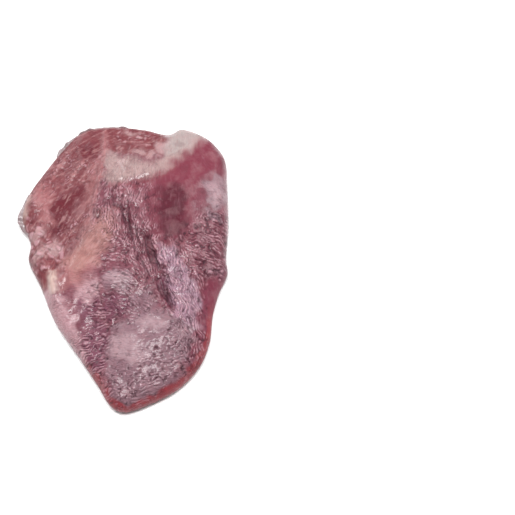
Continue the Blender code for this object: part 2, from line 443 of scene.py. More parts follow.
@dataclass(frozen=True)
class OrganForm:
    """The organ's true form: a dome over the outline, with its swells, hollows and grooves."""

    margin: Margin
    crown_height: float = 13.5
    margin_height: float = 8.6
    widest_line_height: float = 3.4
    roll_radius: float = 5.2
    tuck_under: float = 2.6
    dome_reach: float = 19.0
    reliefs: tuple = (
        Swell((23, 22), 13, 20, 0, 2),
        Swell((25.5, -17), 8, 17, -10, 2.6),
        Swell((8, -40), 15, 13, 20, 1.8),
        Swell((-10, -8), 8, 7, 0, 1.3),
        Swell((-1, -9), 6, 5, 20, 0.8),
        Swell((37, 29), 4.5, 10, 0, 0.9),
        Swell((-25, 33), 11, 17, -25, -3.2),
        Swell((-19, 26.5), 4, 5, -35, -1),
        Swell((-30, 9), 7, 9, 0, -1.8),
        Swell((6, 52), 15, 6, 0, -1.9),
        Swell((-9, -31), 5, 14, 15, -1.7),
        Swell((39, -17), 5, 14, -8, -2.6),
        Swell((-35.5, 12), 2.4, 2.8, 0, 1.7),
        Swell((-30.5, 6.3), 2.6, 2.2, 30, 1.6),
        Swell((-35, 2.3), 2, 3.2, -20, 1.4),
        Swell((-31.3, -2), 2.2, 2.2, 0, 1.1),
        Swell((-36.5, 24), 2.6, 4.5, 15, 1.3),
        Swell((-19, 44), 3, 4.5, -30, 1),
        Swell((1, 52.5), 3.4, 2.2, -15, 1.2),
        Swell((8, 50.5), 3.2, 2.4, 10, 1.3),
        Swell((14.5, 53), 2.4, 3, -30, 1.2),
        Furrow(((-2, 27), (0.2, 18.6), (2, 12.8), (4.5, 4)), 2.3, 1.4),
        Furrow(((4, 12), (6, 5), (8, -2.5)), 2, 0.8),
        Furrow(((8.5, 12), (10, 4.5), (13.8, -5.4), (16, -11)), 2.5, 1.5),
        Furrow(((14.5, -7), (16.7, -12.7), (19.2, -18.3), (22.5, -26)), 2.6, 2.2),
        Furrow(((-9.3, 60), (-9, 46), (-10.3, 37.8), (-12.6, 23), (-17.2, 7.6),
                (-21.6, -2), (-26.5, -14)), 1.9, -1.4),
        Furrow(((-7.5, 30), (-1.9, 32.9), (6.3, 34.2), (16.4, 38.3), (23.5, 45)), 1.8, 0.9),
        Furrow(((-29, -4), (-27.6, -11.9), (-26, -20)), 1.7, -1.2),
    )

    def heights(self, points: Array, inset: Array) -> Array:
        """Height of the upper face over plan points.

        Args:
            points: plan points in millimetres, one a row.
            inset: how far in from the outline each one is.

        Returns:
            One height for each point, in millimetres.
        """
        fullness = 1 - np.exp(-((self.margin.soft_inset(points) / self.dome_reach) ** 2))
        dome = self.margin_height + (self.crown_height - self.margin_height) * fullness
        for relief in self.reliefs:
            dome = dome + relief.heights(points)
        roll = np.sqrt(1 - (1 - np.clip(inset / self.roll_radius, 0.0, 1.0)) ** 2)
        return self.widest_line_height + (dome - self.widest_line_height) * roll

    def unrolled_by(self, inset: Array) -> Array:
        """How much further out a point lies once the rolled margin is laid flat."""
        share = np.clip(inset / self.roll_radius, 0.0, 1.0)
        arc = np.arccos(1 - share) - (math.pi / 2 - 1)
        return self.roll_radius * (share - arc)


@dataclass(frozen=True)
class WrinkleStation:
    """How the capsule is wrinkled about one place.

    heading is the direction that the wrinkles run in, in degrees from +X, and spacing is how far
    apart their valleys lie. net is the share of them that run every other way. pads is 0 for
    folds side by side, and 1 for a flat skin with short creases pressed into it. fine is how much
    of the hair-thin lines show.
    """

    at: tuple[float, float]
    reach: float
    heading: float
    spacing: float
    height: float
    net: float
    pads: float
    fine: float


STATIONS = (
    ((0.9, 20.9), 6, 93, 1.24, 0.62, 0.03, 0, 1),
    ((3, 10), 5, 98, 1.18, 0.65, 0.05, 0, 1),
    ((10.3, 20.9), 4, 92, 1.05, 0.23, 0.15, 0, 0.8),
    ((20.5, 20), 7, 90, 1.05, 0, 0.19, 0, 0),
    ((28.8, 25.6), 3.5, 95, 1.05, 0.02, 0.28, 0.2, 0.7),
    ((36.5, 28.9), 4, 165, 1.3, 0.14, 0.3, 0.7, 0.6),
    ((35.7, 10.2), 5, 160, 1.6, 0.6, 0.25, 0, 0.8),
    ((30.8, 3.2), 4.5, 165, 1.35, 0.5, 0.3, 0, 1),
    ((-2.8, 4.1), 4.5, 0, 1.09, 0.42, 0.07, 0, 1),
    ((8.2, -2.1), 5, 118, 1.12, 0.65, 0.05, 0, 1),
    ((20.5, -1.1), 4.5, 95, 1.18, 0.52, 0.21, 0, 1),
    ((-3.2, -8.7), 4, 172, 1.57, 0.3, 0.4, 0.8, 0.6),
    ((-14.3, -13), 4, 175, 1.57, 0.05, 0.4, 0.5, 0.5),
    ((-6.9, -18.9), 5, 173, 1.18, 0.49, 0.12, 0.1, 0.8),
    ((9, -18.9), 5, 140, 1.05, 0.33, 0.3, 0.3, 1),
    ((26.7, -21.3), 5.5, 111, 1.09, 0.44, 0.12, 0, 1),
    ((29.2, -36.6), 4.5, 95, 1.15, 0.44, 0.21, 0.1, 1),
    ((14.4, -28.6), 4, 10, 1.51, 0.05, 0.6, 1, 0.4),
    ((2.9, -38.8), 5, 175, 1.51, 0.04, 0.6, 1, 0.4),
    ((18, -40), 6, 4, 1.43, 0.27, 0.55, 0.7, 0.9),
    ((2.1, -51), 6, 15, 1.43, 0.26, 0.6, 0.7, 0.9),
    ((12.3, -55.5), 4, 18, 1.12, 0.3, 0.12, 0.4, 0.8),
    ((-10.2, -36.6), 5, 28, 1.25, 0.42, 0.25, 0.1, 0.6),
    ((-24.6, -21.3), 4, 20, 1.09, 0.1, 0.15, 0, 0.9),
    ((-16.4, -43.2), 5, 24, 1.15, 0.42, 0.07, 0, 0.6),
    ((-7.2, -56.7), 4, 30, 1.31, 0.33, 0.16, 0, 0.5),
    ((-18.2, -25.5), 4.5, 20, 1.05, 0.03, 0.24, 0.2, 0.4),
    ((-20.5, 42.8), 7, 38, 1.3, 0.2, 0.55, 0.1, 0.6),
    ((-20.5, 26.2), 4.5, 50, 1.31, 0, 0.37, 0.1, 0.2),
    ((-28.7, 32), 4.5, 45, 1.2, 0.15, 0.42, 0.2, 0.4),
    ((-27, 14.3), 4, 60, 1.2, 0.14, 0.7, 0.2, 0.5),
    ((-20, 13), 4, 50, 1.1, 0.24, 0.8, 0.1, 0.6),
    ((-32, 4), 5, 60, 2.7, 0.28, 0.9, 0.1, 0.3),
    ((-13, 5), 5, 50, 1.05, 0.03, 0.33, 0.2, 0.5),
    ((0, 40.8), 6, 92, 1, 0.09, 0.15, 0, 0.8),
    ((1.3, 52.9), 6, 10, 1.9, 0.16, 0.7, 0.1, 0.4),
    ((22.3, 52.4), 4.5, 80, 1.31, 0, 0.24, 0.2, 0.3),
    ((32.9, 44.2), 6, 120, 1.31, 0, 0.28, 0.2, 0.2),
    ((-7.4, 25.3), 3.5, 82, 1.18, 0.33, 0.21, 0.1, 0.7),
    ((36.7, -18.9), 4, 105, 1.31, 0, 0.24, 0, 0.1),
    ((-13.5, 54), 4.5, 30, 1.3, 0.05, 0.4, 0.1, 0.4),
    ((35.5, -27), 3.2, 105, 1.31, 0, 0.2, 0, 0.1),
    ((-28.3, -9.5), 3, 92, 1.05, 0.02, 0.2, 0, 0.15),
    ((-21.5, -28.5), 4, 22, 1.1, 0.05, 0.2, 0, 0.9),
    ((20.5, -58.6), 4, 110, 1.31, 0.03, 0.24, 0.1, 0.3),
)


@dataclass
class Wrinkles:
    """The wrinkled relief of the capsule, worked out from stations spread over it."""

    noise: TissueNoise
    stations: tuple = tuple(WrinkleStation(*row) for row in STATIONS)
    spacings: tuple = (0.95, 1.25, 1.65, 2.2, 2.9)
    spacing_spread: float = 0.18
    channels: int = 12
    agreement: float = 11.0
    fan: float = 0.1
    band: float = 0.25
    evenness: float = 0.36
    least_swing: float = 0.1
    fold_top: float = 1.5
    mean_fold: float = 0.7
    valley_width: float = 0.5
    cut_width: float = 0.6
    cut_depth: float = 1.2
    gate_mm: float = 3.2
    gate_band: float = 0.5
    gate_seed: int = 13
    gate_start: float = -0.4
    gate_end: float = 1.0
    full_height: float = 0.4
    crest_start: float = 0.8
    crest_end: float = 1.5
    patch_mm: float = 5.5
    patch_band: float = 0.6
    patch_seed: int = 14
    patch_share: float = 0.6
    least_patch: float = 0.25
    most_patch: float = 1.9
    flow_seed: int = 11
    net_seed: int = 12
    net_band: float = 0.3
    wander_seed: int = 31
    wander_mm: float = 7.0
    wander_reach: float = 0.35
    least_dark: float = 0.5

    def mixed(self, points: Array) -> dict[str, Array]:
        """Blends the stations' settings at each point by how near each station is.

        Args:
            points: plan points in millimetres, one a row.

        Returns:
            One array of values for each setting, by its name.
        """
        weights = []
        for station in self.stations:
            away = np.sum((points - np.array(station.at)) ** 2, axis=1)
            weights.append(np.exp(-0.5 * away / station.reach**2) + 1e-9)
        weights = np.array(weights) / np.sum(weights, axis=0)
        found = {}
        for name in ("spacing", "height", "net", "pads", "fine"):
            found[name] = np.array([getattr(s, name) for s in self.stations]) @ weights
        turns = np.radians([2 * s.heading for s in self.stations])
        found["heading"] = np.arctan2(np.sin(turns) @ weights, np.cos(turns) @ weights) / 2
        return found

    def waves(self, points: Array, settings: dict[str, Array]) -> Array:
        """Random waves that run along the local heading, two spacings from crest to crest.

        Args:
            points: plan points in millimetres, one a row.
            settings: the values from mixed.

        Returns:
            Wave heights with a spread of about one.
        """
        total = np.zeros(len(points))
        weight = np.zeros(len(points))
        for spacing in self.spacings:
            near = np.exp(-0.5 * (np.log(settings["spacing"] / spacing) / self.spacing_spread) ** 2)
            net = self.noise.heights_at(points, self.net_seed, 2 * spacing, self.net_band)
            flow = np.zeros(len(points), complex)
            for channel in range(self.channels):
                heading = channel * math.pi / self.channels
                sheet = self.noise.rolling(self.flow_seed, 2 * spacing, heading, self.fan, self.band)
                turn = settings["heading"] - heading
                share = np.exp(self.agreement * (np.cos(2 * turn) - 1))
                rolling = self.noise.sample(sheet, points)
                flow += share * np.where(np.cos(turn) < 0, np.conj(rolling), rolling)
            even = flow.real / (np.abs(flow) ** self.evenness + self.least_swing)
            total += near * ((1 - settings["net"]) * even + settings["net"] * net)
            weight += near**2
        return total / np.sqrt(weight)

    def relief(self, points: Array, settings: dict[str, Array]) -> tuple[Array, ...]:
        """The wrinkles' own heights, and where each point lies between crease and crest.

        Args:
            points: plan points in millimetres, one a row.
            settings: the values from mixed.

        Returns:
            Heights in millimetres, shares that are 1 in a crease, and shares that are 1 on a crest.
        """
        wandering = self.noise.warped(points, self.wander_seed, self.wander_mm, self.wander_reach)
        waves = self.waves(wandering, settings)
        fold = np.minimum(np.abs(waves), self.fold_top) - self.mean_fold
        valley = np.exp(-((waves / self.valley_width) ** 2))
        gate = self.noise.heights_at(points, self.gate_seed, self.gate_mm, self.gate_band)
        cut = np.exp(-((waves / self.cut_width) ** 2)) * smooth_step(gate, self.gate_start, self.gate_end)
        shape = (1 - settings["pads"]) * fold - settings["pads"] * self.cut_depth * cut
        # The crease share: where the finish paints shade into the valleys and cut lines.
        shaded_crease_share = (1 - settings["pads"]) * valley + settings["pads"] * cut
        broken = smooth_step(gate, -self.gate_end, -self.gate_start)
        shaded_crease_share = shaded_crease_share * (self.least_dark + (1 - self.least_dark) * broken)
        patches = self.noise.heights_at(points, self.patch_seed, self.patch_mm, self.patch_band)
        swing = np.clip(1 + self.patch_share * patches, self.least_patch, self.most_patch)
        height = settings["height"] * swing
        strong = smooth_step(height, 0.0, self.full_height)
        # The crest share: fold tops painted paler, partly paler collagen and partly a painted highlight.
        crest = smooth_step(np.abs(waves), self.crest_start, self.crest_end)
        crest = crest * (1 - settings["pads"])
        return height * shape, shaded_crease_share * strong, crest * strong**2


@dataclass(frozen=True)
class Area:
    """A patch of the skin with its own tissue or tint, drawn by the corners of its edge."""

    corners: tuple
    fade: float

    def mask(self, points: Array) -> Array:
        """One well inside the patch, fading to nothing across its edge."""
        edge = np.array(self.corners + self.corners[:1])
        away, _ = nearest_on_path(points, edge)
        depth = np.where(is_inside(points, np.array(self.corners)), away, -away)
        return smooth_step(depth, -self.fade / 2, self.fade / 2)


@dataclass(frozen=True)
class Strand:
    """A strand of fat or connective tissue along the skin."""

    path: tuple
    half_width: float
    height: float

    def mask(self, points: Array) -> Array:
        """One along the strand's middle, fading across its width and at its ends."""
        return Furrow(self.path, self.half_width, 1.0, 0.4).shape(points)


@dataclass(frozen=True)
class MarginBand:
    """A stretch of the rolled margin with its own tint, counter-clockwise seen from above."""

    start: tuple[float, float]
    end: tuple[float, float]
    width: float
    fade: float
    end_fade: float = 0.012

    def mask(self, margin: Margin, inset: Array, share: Array) -> Array:
        """One on the margin between the two ends, fading inwards at the band's width.

        Args:
            margin: the organ's outline.
            inset: how far in from the outline each point is.
            share: the share of the outline nearest each point.

        Returns:
            Shares from 0 to 1, one for each point.
        """
        first = margin.share_near(self.start)
        run = (margin.share_near(self.end) - first) % 1.0
        past = (share - first + self.end_fade) % 1.0 - self.end_fade
        ends = smooth_step(past, -self.end_fade, self.end_fade)
        ends = ends * smooth_step(run - past, -self.end_fade, self.end_fade)
        return ends * smooth_step(self.width - inset, -self.fade / 2, self.fade / 2)


class Tissue(Enum):
    """The kinds of tissue and tint that the capsule's finish tells apart."""

    BARE = "bare"
    BARE_DARK = "bare_dark"
    SALMON = "salmon"
    PEACH = "peach"
    FIBROUS = "fibrous"
    CAP = "cap"
    RED_UNDER = "red_under"
    FAT = "fat"
    MAUVE = "mauve"
    CORE = "core"
    # Pale veil: partly the whitish collagen of the capsule, partly painted sheen of the overhead light.
    PALE_VEIL_AND_SHEEN = "veil"
    # Smooth pale pads: partly paler capsule, partly painted sheen of the lights.
    SMOOTH_PALE_AND_SHEEN = "smooth"
    LILAC = "lilac"
    BLOOD_MARGIN = "blood_margin"
    RIGHT_MARGIN = "right_margin"
    PURPLE = "purple"
    # Pink of the left margin, with its paler pads partly painted sheen.
    PINK_MARGIN_AND_SHEEN = "pink_margin"
    FILM = "film"
    # Share of each point that lies in a crease; the finish paints shade there.
    PAINTED_CREASE_SHADE = "low"
    # Share of each point on a fold top, painted paler: partly the paler collagen of the ridges, partly a
    # painted highlight.
    PALE_CREST_AND_SHEEN = "crest"


# Each row is a tissue, how wide the edge fades and the corners of the edge.
AREAS = (
    (Tissue.BARE, 3.5, "-12,66 -8.8,54.1 -9.2,46.1 -10.1,37.2 -12.4,28 -13.4,21.5 -15,15 -20,8 -24,0 "
     "-28,-12 -34,-12 -50,0 -50,30 -30,62"),
    (Tissue.BARE, 1.8, "-12,66 -8.8,48 -2.8,48 5,46.5 10,45.5 13.5,48.5 15.5,53 16,66"),
    (Tissue.BARE_DARK, 3.5, "-32,25 -27,29 -21.5,32.5 -15.5,32 -14,27.5 -18,22.5 -23.5,17.5 -30.5,17.5"),
    (Tissue.BARE_DARK, 4, "-27,18 -23,17 -23,11.5 -27,9.5 -30.5,14"),
    (Tissue.BARE_DARK, 5, "-19,52 -12,52 -12,46 -19,44"),
    (Tissue.SALMON, 6, "-25,-1 -17,4 -9.5,2 -11,-6.5 -18,-12 -25,-12"),
    (Tissue.SALMON, 3.5, "-39,32 -34,35 -31,31 -31.5,22 -29,17 -31.5,16.5 -36,22.5"),
    (Tissue.SALMON, 3, "-13.5,46 -10.5,46 -11,34 -13.5,24 -16.5,24 -14.5,34"),
    (Tissue.PEACH, 8, "-12.8,16 -5.6,20.8 -3.2,13 -5.2,5 -11,-2.5 -19,-6.5 -23.5,-2 -19.3,4.5 -16.5,10.5"),
    (Tissue.FIBROUS, 5.5, "-8.6,48.4 -2.8,47 3.7,45.2 7.8,43 11.8,42.6 14.9,46.1 16.4,52.3 17.3,55.5 18,66 "
     "34,66 32.5,57.5 30,53.3 26.5,49.3 23,46 20.3,42.5 17.5,39.3 13.5,37.5 8.7,36 2.4,34.6 -3.1,33 "
     "-7.6,34.1 -8.5,38.1 -8.8,43.4"),
    (Tissue.CAP, 7, "16.4,52.3 17.3,66 33,66 30.5,56 27,51.5 22.7,48.5 18.7,47.5 16.5,48"),
    (Tissue.RED_UNDER, 3, "-7.6,33.5 2.4,34.4 13.5,37.9 20.7,41.9 21.5,37.3 13.6,33.7 4.1,29.2 -5.4,29.3"),
    (Tissue.MAUVE, 5, "10,34.6 18.9,43.2 29.9,56.7 38.4,51.1 40.5,40.7 33.5,36.6 29.5,28.5 28.2,19.8 "
     "28.5,9.5 22.1,4.7 13.8,6.9 10.7,14.6 8.6,24.1"),
    (Tissue.MAUVE, 2, "29.6,-7.6 37.2,-8.7 48,-7.9 50,-30 46,-34 36,-30 33.9,-27.2 33,-19 32.4,-14.1"),
    (Tissue.CORE, 5, "14.3,29.5 21.2,33 25,29.5 26,19.5 26.2,10.2 20.5,6.4 15.2,8.1 13.4,18.1"),
    # The pale veil: partly whitish capsule, partly the overhead light's broad sheen painted into the colour.
    (Tissue.PALE_VEIL_AND_SHEEN, 3, "-3.8,-28.9 2.7,-25.4 8.8,-22.1 14.9,-22.1 21.9,-24.8 30,-29.5 35.5,-33.5 33.5,-43 "
     "24.5,-53.5 16.5,-59.5 5.5,-64 0,-60.5 -4,-51.6 -5.4,-42.6 -5.6,-34.5"),
    (Tissue.PALE_VEIL_AND_SHEEN, 2.6, "-7.6,-8.6 -3,-4.4 3.7,-6.6 5,-13.5 1.5,-16 -3.8,-14.4 -7.8,-12.4"),
    (Tissue.PALE_VEIL_AND_SHEEN, 5, "3,-16 12,-12 14.5,-22 4,-26"),
    # These three are the pale pads of the right flank: painted sheen of the right-hand light.
    (Tissue.PALE_VEIL_AND_SHEEN, 1.6, "33.4,35.4 37.5,36.9 41.2,35.5 42,25.8 40,22.4 37.2,21.5 34.4,25 32.9,30.2"),
    (Tissue.PALE_VEIL_AND_SHEEN, 1.6, "34.5,21.9 37.7,20.4 41.3,17.2 39.3,15.5 35.3,17.7 32.5,20.6"),
    (Tissue.PALE_VEIL_AND_SHEEN, 2, "36,-3 42,-2 42,-7 37,-8"),
    # The smooth pale pads: partly paler capsule, partly the lights' sheen painted into the colour.
    (Tissue.SMOOTH_PALE_AND_SHEEN, 4, "-3.2,-32.9 2.9,-31.3 9,-36.5 11.4,-42 7.1,-44.8 0.2,-43.2 -3.8,-38.6"),
    (Tissue.SMOOTH_PALE_AND_SHEEN, 3.5, "6.5,-27 13,-25 18,-28.5 15,-32 9,-31"),
    (Tissue.SMOOTH_PALE_AND_SHEEN, 6, "34.4,34.4 37.5,35.9 40.7,34.5 41,26.8 38,23.4 35.4,26 33.9,30.2"),
    (Tissue.SMOOTH_PALE_AND_SHEEN, 3, "-6.2,-8.6 -2.6,-5.9 2.7,-7.6 3.5,-11.5 -2.8,-13.4"),
    (Tissue.LILAC, 3, "17.5,0.3 24.4,-1.9 29.4,-9.4 32.6,-18.7 33.5,-28.9 32.1,-34.5 27.2,-32.9 22.5,-26.4 "
     "20.4,-17.4 18,-9.1"),
    (Tissue.LILAC, 4, "14,4 22,3 24,-3 15,-4"),
    (Tissue.PURPLE, 4, "-18.4,-17 -9.7,-16.2 -7.2,-23.1 -11.6,-27.2 -17.3,-25.6"),
    (Tissue.PURPLE, 4, "-6.3,-15.2 2.4,-16.4 5.4,-21.3 1.7,-25.7 -4.2,-26.2 -8,-21"),
    (Tissue.PURPLE, 4, "-13.6,-26.2 -6.5,-25.4 -4.7,-34.5 -5.6,-44.6 -10.1,-46 -16.3,-37.8"),
    (Tissue.PURPLE, 3, "-36.6,10 -31,9.5 -30.5,1 -36,4"),
    (Tissue.PURPLE, 3, "14,-8 19,-9 24,-25 20,-26"),
    # The pink left margin; its pale pad here is partly painted sheen of the lights.
    (Tissue.PINK_MARGIN_AND_SHEEN, 4, "-19.5,-8.5 -9.5,-8.5 -8.5,-18 -18,-17.5"),
    (Tissue.PINK_MARGIN_AND_SHEEN, 4, "-34,-12 -26,-13 -22,-17.5 -26,-25 -34,-20"),
    (Tissue.PINK_MARGIN_AND_SHEEN, 3, "-30.5,-14.4 -27.5,-12 -24,-17.4 -19.5,-24 -15.8,-31.3 -15.5,-37 -11,-46 -4,-55 "
     "-4,-74 -22,-60 -47,-20"),
    (Tissue.FILM, 6, "-60,8 -42.4,12 -41.4,19.8 -41,25 -40.2,29.5 -60,36"),
)

# Where fat shows on the tops of the folds: how wide the edge fades, and its corners.
FATTY_AREAS = (
    (4, "-40,16 -33,15 -24.5,9 -23.5,4 -29,1.5 -36,1 -42,6"),
    (3, "-7.5,58 4,56.5 15,54.5 15.5,49 12.5,45.5 6,45.5 -4,48.5"),
    (4, "-38,30 -33,30 -32,22 -37,20"),
)

# Each row is a tissue, a strand's half width, its height and its path.
STRANDS = (
    (Tissue.FILM, 2, 0.5, "-28.2,-4 -28,-9.5 -27.3,-15"),
    (Tissue.SALMON, 1.1, 0.2, "-9.3,63 -9,46 -10.3,37.8 -12.6,23 -15.5,13"),
    (Tissue.SALMON, 1.2, 0.3, "-36.5,28 -33.5,25 -32,21 -29.5,17 -27,15.5"),
    (Tissue.SALMON, 1.4, 0.3, "-34,35 -36,30 -33.5,25"),
    (Tissue.SALMON, 0.7, 0.3, "-13.5,48 -18,44 -22,38 -24,33"),
    (Tissue.SALMON, 0.8, 0.3, "-12,44 -16,39.5 -19,34"),
    (Tissue.SALMON, 1.9, 0.3, "-11.8,46 -12.6,38 -14.4,28 -15.6,21"),
    (Tissue.SALMON, 0.8, 0.2, "-25,47 -29,41 -31,37"),
)


def plan_points(pairs: str) -> tuple:
    """Turns a text of x,y pairs, in millimetres, into plan points."""
    return tuple(tuple(map(float, pair.split(","))) for pair in pairs.split())


def sorted_by_tissue(pairs: Iterable) -> dict[Tissue, tuple]:
    """Gathers what belongs to each tissue.

    Args:
        pairs: tissues, each with one area or strand of it.

    Returns:
        The areas or strands of each tissue, in their order.
    """
    found = {}
    for tissue, drawn in pairs:
        found[tissue] = found.get(tissue, ()) + (drawn,)
    return found


@dataclass
class Tissues:
    """Where each kind of tissue shows on the skin.

    The two warps are a seed, a wavelength and a reach. streak_waves is a seed, a wavelength, a
    heading, how far the waves stray from it, and a band.
    """

    noise: TissueNoise
    margin: Margin
    edge_warp: tuple = (41, 8.0, 0.65)
    strand_warp: tuple = (43, 3.0, 0.3)
    streak_waves: tuple = (45, 2.4, math.pi / 2, 0.15, 0.5)
    lobule_gain: float = 1.6
    fatty_amount: float = 0.55
    streak_reach: float = 0.3
    streaky: tuple = (Tissue.FIBROUS, Tissue.RED_UNDER, Tissue.PEACH)
    fatty: tuple = tuple(Area(plan_points(pairs), fade) for fade, pairs in FATTY_AREAS)
    areas: dict = field(default_factory=lambda: sorted_by_tissue(
        (tissue, Area(plan_points(pairs), fade)) for tissue, fade, pairs in AREAS))
    bands: dict = field(default_factory=lambda: {
        Tissue.BLOOD_MARGIN: (
            MarginBand((-14, -46), (36, -22), 1.9, 1.6, 0.02),
        ),
        Tissue.RIGHT_MARGIN: (
            MarginBand((27.5, -46.5), (41, -7), 5.4, 2.4, 0.035),
        ),
    })
    strands: dict = field(default_factory=lambda: sorted_by_tissue(
        (tissue, Strand(plan_points(pairs), *sizes)) for tissue, *sizes, pairs in STRANDS))
    lobules: tuple = (
        Swell((-35.5, 12), 2, 2.3, 0, 1),
        Swell((-30.5, 6.3), 2.2, 1.9, 30, 1),
        Swell((-35, 2.3), 1.6, 2.8, -20, 1),
        Swell((-27.5, 4.5), 1.8, 1.8, 0, 0.8),
        Swell((5.1, 48.5), 2.4, 1.4, -15, 0.9),
        Swell((10.1, 46.5), 2.4, 1.6, 10, 0.8),
        Swell((14.1, 50.5), 1.6, 2.6, -30, 0.8),
        Swell((2, 57.5), 3.4, 0.9, -12, 0.7),
    )

    def masks(self, points: Array, crest: Array) -> dict[Tissue, Array]:
        """How much of each tissue shows at each point.

        Args:
            points: plan points in millimetres, one a row.
            crest: how near the top of a fold each one is, from 0 to 1.

        Returns:
            Shares from 0 to 1 for each tissue.
        """
        grown = self.noise.warped(points, *self.edge_warp)
        streaked = grown.copy()
        streaks = self.noise.rolling(*self.streak_waves).real
        streaked[:, 1] += self.streak_reach * self.noise.sample(streaks, points)
        found = {}
        for tissue, areas in self.areas.items():
            places = streaked if tissue in self.streaky else grown
            found[tissue] = np.max([area.mask(places) for area in areas], axis=0)
        inset, share = self.margin.inset(grown)
        inset = np.where(is_inside(grown, self.margin.outline), inset, 0.0)
        for tissue, bands in self.bands.items():
            masks = [band.mask(self.margin, inset, share) for band in bands]
            found[tissue] = np.max([found.get(tissue, masks[0]), *masks], axis=0)
        shaken = self.noise.warped(points, *self.strand_warp)
        for tissue, strands in self.strands.items():
            masks = [strand.mask(shaken) for strand in strands]
            found[tissue] = np.max([found.get(tissue, masks[0]), *masks], axis=0)
        rises = [lobule.heights(grown) for lobule in self.lobules]
        fat = [np.minimum(1.0, self.lobule_gain * rise) ** 2 for rise in rises]
        fat += [self.fatty_amount * area.mask(grown) * crest for area in self.fatty]
        found[Tissue.FAT] = np.max(fat, axis=0)
        return found


@dataclass
class Skin:
    """The whole organ as one fine mesh: upper face, rolled margin and resting face.

    Each row of unevenness is a seed, a wavelength and a height.
    """

    form: OrganForm
    noise: TissueNoise
    wrinkles: Wrinkles
    tissues: Tissues
    cells_across: int = 240
    cells_along: int = 366
    crowding: float = 0.3
    rings: int = 5
    patch_corners: tuple = ((23.0, -53.0), (36.0, 54.0), (-28.0, 51.0), (-9.0, -50.5))
    creases: tuple = (
        Furrow(((15.2, -9), (16.9, -13.5), (18.7, -18), (21.5, -24)), 0.7, 0.9),
        Furrow(((13.9, -9.5), (15.6, -14.5), (17.4, -18.5)), 0.5, 0.5),
        Furrow(((17, -10), (18.6, -15), (20.6, -20)), 0.45, 0.4),
        Furrow(((-1.4, 25), (-0.6, 20), (0.9, 15), (2.2, 11)), 0.5, 0.6),
        Furrow(((1.6, 23), (1.7, 17), (3, 11), (4.6, 6), (6.2, 1)), 0.5, 0.7),
        Furrow(((4.6, 15), (5.8, 9), (7.4, 4)), 0.45, 0.5),
        Furrow(((8.6, 11), (9.6, 5), (11, 0), (13.2, -6)), 0.55, 0.7),
        Furrow(((11.2, 9), (12.3, 3), (13.9, -3), (15.4, -7.5)), 0.5, 0.6),
        Furrow(((7.2, 0), (9.4, -5), (12.2, -9.5)), 0.45, 0.4),
    )
    unevenness: tuple = ((51, 14.0, 0.12), (52, 7.0, 0.05))
    uneven_band: float = 0.5
    wall_arc: float = 3.0
    margin_fade: float = 3.5
    margin_relief: float = 0.15
    bare_crease_shade_cut: float = 0.45

    def grid(self) -> Array:
        """The upper face's point numbers, in rows; the margin's points come after them."""
        across, along = self.cells_across + 1, self.cells_along + 1
        return np.arange(across * along).reshape(along, across)

    def plan(self) -> Array:
        """Spreads the grid over the outline.

        Returns:
            Plan points in rows from the narrow end to the broad end, each from left to right.
        """
        margin = self.form.margin
        steps = [np.linspace(-1, 1, cells + 1) for cells in (self.cells_across, self.cells_along)]
        across, along = [((1 - self.crowding) * s + self.crowding * np.sin(s * math.pi / 2) + 1) / 2
                         for s in steps]
        lower_right, upper_right, upper_left, lower_left = map(margin.share_near, self.patch_corners)
        on_right = margin.at(lower_right - 1 + (upper_right - lower_right + 1) * along)[:, None]
        on_left = margin.at(lower_left + (upper_left - lower_left) * along)[:, None]
        on_upper = margin.at(upper_left + (upper_right - upper_left) * across)[None]
        on_lower = margin.at(lower_left + (lower_right - lower_left) * across)[None]
        u, v = across[None, :, None], along[:, None, None]
        sides = (1 - u) * on_left + u * on_right + (1 - v) * on_lower + v * on_upper
        lower_corners = (1 - u) * on_left[0] + u * on_right[0]
        upper_corners = (1 - u) * on_left[-1] + u * on_right[-1]
        return (sides - (1 - v) * lower_corners - v * upper_corners).reshape(-1, 2)

    def faces(self) -> list:
        """Every face of the mesh, as the numbers of its corners.

        Returns:
            The upper face's quads, the margin's quads and the one resting face.
        """
        grid = self.grid()
        found = grid_quads(grid).tolist()
        loop = grid_rim(grid)
        for ring in range(self.rings):
            below = grid.size + ring * len(loop) + np.arange(len(loop))
            corners = [below, np.roll(below, -1), np.roll(loop, -1), loop]
            found += np.stack(corners, axis=-1).tolist()
            loop = below
        return found + [loop[::-1].tolist()]

    def bare_surface(self) -> tuple[Array, Array, Array]:
        """The smooth form before its fine relief.

        Returns:
            Points in space, the plan points of the same skin laid flat, and the plan points by
            which its tissues are placed, which differ only in that the rolled margin isn't
            stretched.
        """
        plan = self.plan()
        inset, share = self.form.margin.inset(plan)
        heights = self.form.heights(plan, inset)
        outward = self.form.margin.outward_at(share)
        flat = plan + outward * self.form.unrolled_by(inset)[:, None]
        solid = np.column_stack([plan, heights])
        loop = grid_rim(self.grid())
        shells, sheets, places = [solid], [flat], [plan]
        for ring in range(1, self.rings + 1):
            turn = math.pi / 2 * ring / self.rings
            inwards = outward[loop] * self.form.tuck_under * (1 - math.cos(turn))
            low = np.full(len(loop), self.form.widest_line_height * (1 - math.sin(turn)))
            shells.append(np.column_stack([plan[loop] - inwards, low]))
            wall = outward[loop] * self.wall_arc * turn
            sheets.append(flat[loop] + wall)
            places.append(plan[loop] + wall)
        return np.vstack(shells), np.vstack(sheets), np.vstack(places)

    def relief(self, flat: Array, settings: dict[str, Array]) -> tuple[Array, ...]:
        """All the relief that is finer than the form.

        Args:
            flat: plan points of the skin laid flat.
            settings: the wrinkle settings at those points.

        Returns:
            Heights in millimetres, and how low in a crease and how near the top of a fold each
            point lies, from 0 to 1.
        """
        heights, low, crest = self.wrinkles.relief(flat, settings)
        for seed, wavelength, height in self.unevenness:
            heights = heights + height * self.noise.heights_at(flat, seed, wavelength, self.uneven_band)
        for crease in self.creases:
            shape = crease.shape(flat)
            heights = heights - crease.depth * shape
            low = np.maximum(low, shape)
        for strand in sum(self.tissues.strands.values(), ()):
            heights = heights + strand.height * strand.mask(flat)
        return heights, low, crest

